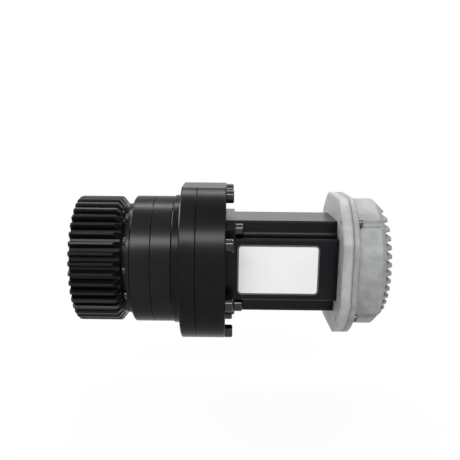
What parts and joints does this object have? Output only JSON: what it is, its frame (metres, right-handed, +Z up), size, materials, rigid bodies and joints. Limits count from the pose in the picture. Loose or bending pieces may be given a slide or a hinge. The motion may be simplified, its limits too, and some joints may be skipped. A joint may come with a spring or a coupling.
{
  "type": "geared steering actuator",
  "caption": "Geared rotary actuator with a drive pinion, planetary gearbox, flat-sided mounting flange, square servo motor and finned round electronics housing on one axis.",
  "frame": {"origin": "centre of the mounting flange's front face, on the actuator's axis", "axes": "X along the axis: -X towards the drive pinion, +X towards the finned electronics housing; +Z up, square to the flange's two flats; -Y the side that shows the motor's name plate, +Y the side of the sockets"},
  "size_m": [0.2012, 0.1064, 0.1006],
  "materials": {
    "pinion_steel": "black oxide on machined steel, lightly oiled",
    "dark_steel": "black oxide on turned steel",
    "screw_steel": "black oxide",
    "dark_aluminium": "black anodised",
    "cast_aluminium": "fine blasted casting, left natural",
    "gear_steel": "hardened and ground",
    "bearing_steel": "ground",
    "bronze": "plain bronze",
    "seal_rubber": "nitrile rubber",
    "lamination_steel": "stacked electrical steel",
    "copper": "enamelled copper wire",
    "magnet": "nickel plated",
    "circuit_board": "green solder mask",
    "plated_brass": "nickel plated",
    "black_plastic": "moulded"
  },
  "bodies": {
    "housing": {"front_housing": "dark_steel", "bearing_retainer": "dark_steel", "retainer_screws": "screw_steel", "output_seal": "seal_rubber", "output_bearing_outer": "bearing_steel", "output_ring_gear": "dark_steel", "mounting_flange": "dark_aluminium", "housing_screws": "screw_steel", "carrier_bearing_outer": "bearing_steel", "input_ring_gear": "gear_steel", "motor_adapter": "dark_aluminium", "flange_screws": "screw_steel", "motor_front_flange": "dark_aluminium", "motor_screws": "screw_steel", "shaft_seal": "seal_rubber", "front_bearing_outer": "bearing_steel", "stator_housing": "dark_aluminium", "stator_core": "lamination_steel", "stator_windings": "copper", "rear_bearing_outer": "bearing_steel", "preload_washer": "bearing_steel", "rear_bell": "dark_aluminium", "case_screws": "screw_steel", "drive_base_plate": "cast_aluminium", "encoder_board": "circuit_board", "base_gasket": "seal_rubber", "drive_board": "circuit_board", "board_standoffs": "plated_brass", "capacitors": "black_plastic", "drive_cover": "cast_aluminium", "cover_screws": "bearing_steel", "socket_shells": "plated_brass", "socket_inserts": "black_plastic"},
    "output": {"drive_pinion": "pinion_steel", "pinion_screws": "screw_steel", "pinion_dowels": "bearing_steel", "output_carrier": "dark_steel", "output_carrier_cap": "gear_steel", "output_planet_pins": "bearing_steel", "output_planet_bushes": "bronze", "output_bearing_inner": "bearing_steel", "carrier_bearing_inner": "bearing_steel"},
    "first_carrier": {"output_sun_gear": "gear_steel", "input_carrier": "gear_steel", "input_carrier_cap": "gear_steel", "input_planet_pins": "bearing_steel", "input_planet_bushes": "bronze"},
    "rotor": {"input_sun_gear": "gear_steel", "rotor_shaft": "gear_steel", "rotor_core": "lamination_steel", "rotor_magnets": "magnet", "front_bearing_inner": "bearing_steel", "rear_bearing_inner": "bearing_steel", "encoder_magnet": "magnet"},
    "output_planet_1_gear": {"output_planet_1": "gear_steel"},
    "output_planet_2_gear": {"output_planet_2": "gear_steel"},
    "output_planet_3_gear": {"output_planet_3": "gear_steel"},
    "input_planet_1_gear": {"input_planet_1": "gear_steel"},
    "input_planet_2_gear": {"input_planet_2": "gear_steel"},
    "input_planet_3_gear": {"input_planet_3": "gear_steel"}
  },
  "joints": [
    {"name": "output_spin", "type": "hinge", "parent": "housing", "child": "output", "pos_m": [0, 0, 0], "axis": [1, 0, 0], "continuous": true},
    {"name": "first_carrier_spin", "type": "hinge", "parent": "housing", "child": "first_carrier", "pos_m": [0, 0, 0], "axis": [1, 0, 0], "continuous": true},
    {"name": "rotor_spin", "type": "hinge", "parent": "housing", "child": "rotor", "pos_m": [0, 0, 0], "axis": [1, 0, 0], "continuous": true},
    {"name": "output_planet_1_spin", "type": "hinge", "parent": "output", "child": "output_planet_1_gear", "pos_m": [0, 0, 0.02025], "axis": [1, 0, 0], "continuous": true},
    {"name": "output_planet_2_spin", "type": "hinge", "parent": "output", "child": "output_planet_2_gear", "pos_m": [0, -0.01754, -0.01013], "axis": [1, 0, 0], "continuous": true},
    {"name": "output_planet_3_spin", "type": "hinge", "parent": "output", "child": "output_planet_3_gear", "pos_m": [0, 0.01754, -0.01013], "axis": [1, 0, 0], "continuous": true},
    {"name": "input_planet_1_spin", "type": "hinge", "parent": "first_carrier", "child": "input_planet_1_gear", "pos_m": [0, 0, 0.02025], "axis": [1, 0, 0], "continuous": true},
    {"name": "input_planet_2_spin", "type": "hinge", "parent": "first_carrier", "child": "input_planet_2_gear", "pos_m": [0, -0.01754, -0.01013], "axis": [1, 0, 0], "continuous": true},
    {"name": "input_planet_3_spin", "type": "hinge", "parent": "first_carrier", "child": "input_planet_3_gear", "pos_m": [0, 0.01754, -0.01013], "axis": [1, 0, 0], "continuous": true}
  ],
  "couplings": [
    {"joint": "first_carrier_spin", "follows": "rotor_spin", "ratio": 0.22222},
    {"joint": "output_spin", "follows": "rotor_spin", "ratio": 0.049383},
    {"joint": "output_planet_1_spin", "follows": "rotor_spin", "ratio": -0.13827},
    {"joint": "output_planet_2_spin", "follows": "rotor_spin", "ratio": -0.13827},
    {"joint": "output_planet_3_spin", "follows": "rotor_spin", "ratio": -0.13827},
    {"joint": "input_planet_1_spin", "follows": "rotor_spin", "ratio": -0.62222},
    {"joint": "input_planet_2_spin", "follows": "rotor_spin", "ratio": -0.62222},
    {"joint": "input_planet_3_spin", "follows": "rotor_spin", "ratio": -0.62222}
  ]
}
